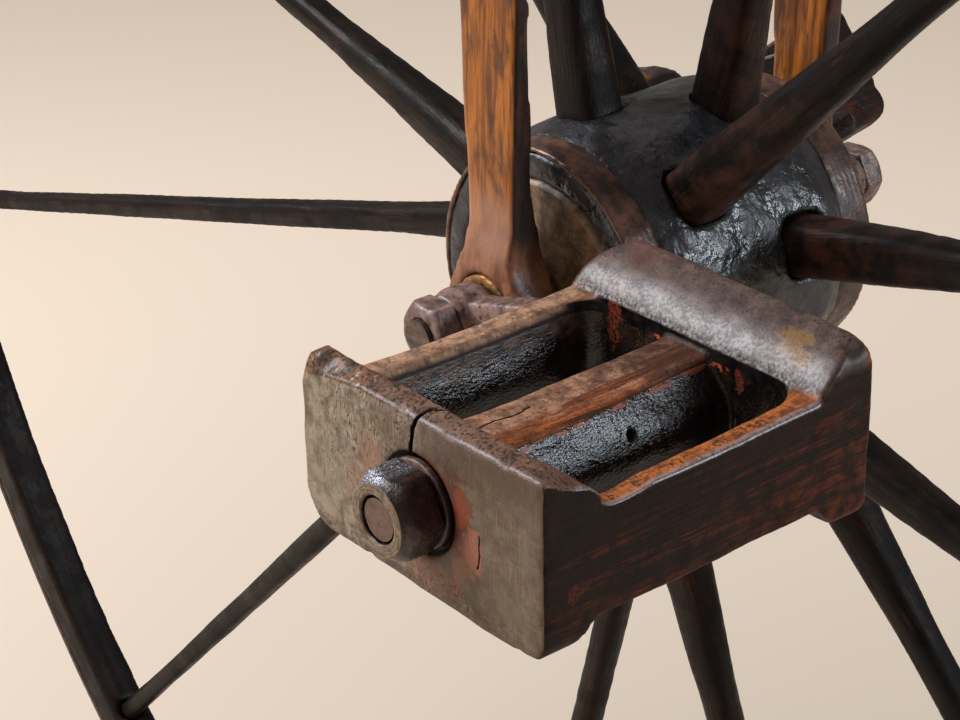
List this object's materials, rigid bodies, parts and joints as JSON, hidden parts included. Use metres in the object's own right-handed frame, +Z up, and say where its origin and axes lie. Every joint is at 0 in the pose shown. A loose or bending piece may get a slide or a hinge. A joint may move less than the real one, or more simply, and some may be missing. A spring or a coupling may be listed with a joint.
{
  "type": "velocipede front driving wheel with fork, cranks and block pedals",
  "caption": "Front driving wheel of a velocipede: spoked wooden wheel with iron tyre in a forged fork, cranked axle and carved block pedals.",
  "frame": {"origin": "on the shoulder where the steering stem leaves the fork crown, on the steering axis", "axes": "+X forward, +Y along the axle to the far side, +Z up the steering stem"},
  "size_m": [1.0539, 0.4076, 1.272],
  "materials": {
    "dark_iron": "old oiled wrought iron, brown-black",
    "varnished_iron": "wrought iron under streaked amber varnish",
    "bronze": "dull bearing bronze",
    "spoke_wood": "dark stained ash, worn",
    "nave_wood": "black gloss paint over wood",
    "cap_metal": "olive-brown old metal",
    "pedal_wood": "carved wood, dark paint worn to orange-brown on the edges"
  },
  "bodies": {
    "fork": {"steering_stem": "dark_iron", "fork_crown": "varnished_iron", "fork_leg_near": "varnished_iron", "fork_leg_far": "varnished_iron", "axle_bush_near": "bronze", "axle_bush_far": "bronze"},
    "wheel": {"wheel_nave": "nave_wood", "nave_band_near": "dark_iron", "nave_band_far": "dark_iron", "nave_cap_near": "cap_metal", "nave_cap_far": "cap_metal", "iron_tyre": "dark_iron", "wheel_axle": "dark_iron", "crank_near": "dark_iron", "crank_far": "dark_iron", "axle_nut_near": "dark_iron", "axle_nut_far": "dark_iron", "pedal_spindle_near": "dark_iron", "pedal_spindle_far": "dark_iron", "pedal_washer_near": "dark_iron", "pedal_washer_far": "dark_iron", "pedal_nut_near": "dark_iron", "pedal_nut_far": "dark_iron", "spoke_01": "spoke_wood", "spoke_02": "spoke_wood", "spoke_03": "spoke_wood", "spoke_04": "spoke_wood", "spoke_05": "spoke_wood", "spoke_06": "spoke_wood", "spoke_07": "spoke_wood", "spoke_08": "spoke_wood", "spoke_09": "spoke_wood", "spoke_10": "spoke_wood", "spoke_11": "spoke_wood", "spoke_12": "spoke_wood", "felloe_1": "spoke_wood", "felloe_2": "spoke_wood", "felloe_3": "spoke_wood", "felloe_4": "spoke_wood", "felloe_5": "spoke_wood", "felloe_6": "spoke_wood"},
    "pedal_near": {"pedal_block_near": "pedal_wood"},
    "pedal_far": {"pedal_block_far": "pedal_wood"}
  },
  "joints": [
    {"name": "wheel_spin", "type": "hinge", "parent": "fork", "child": "wheel", "pos_m": [0, 0, -0.571], "axis": [0, 1, 0], "continuous": true},
    {"name": "pedal_near_spin", "type": "hinge", "parent": "wheel", "child": "pedal_near", "pos_m": [0.12238, -0.13945, -0.53706], "axis": [0, 1, 0], "continuous": true},
    {"name": "pedal_far_spin", "type": "hinge", "parent": "wheel", "child": "pedal_far", "pos_m": [-0.12238, 0.13945, -0.60494], "axis": [0, 1, 0], "continuous": true}
  ]
}
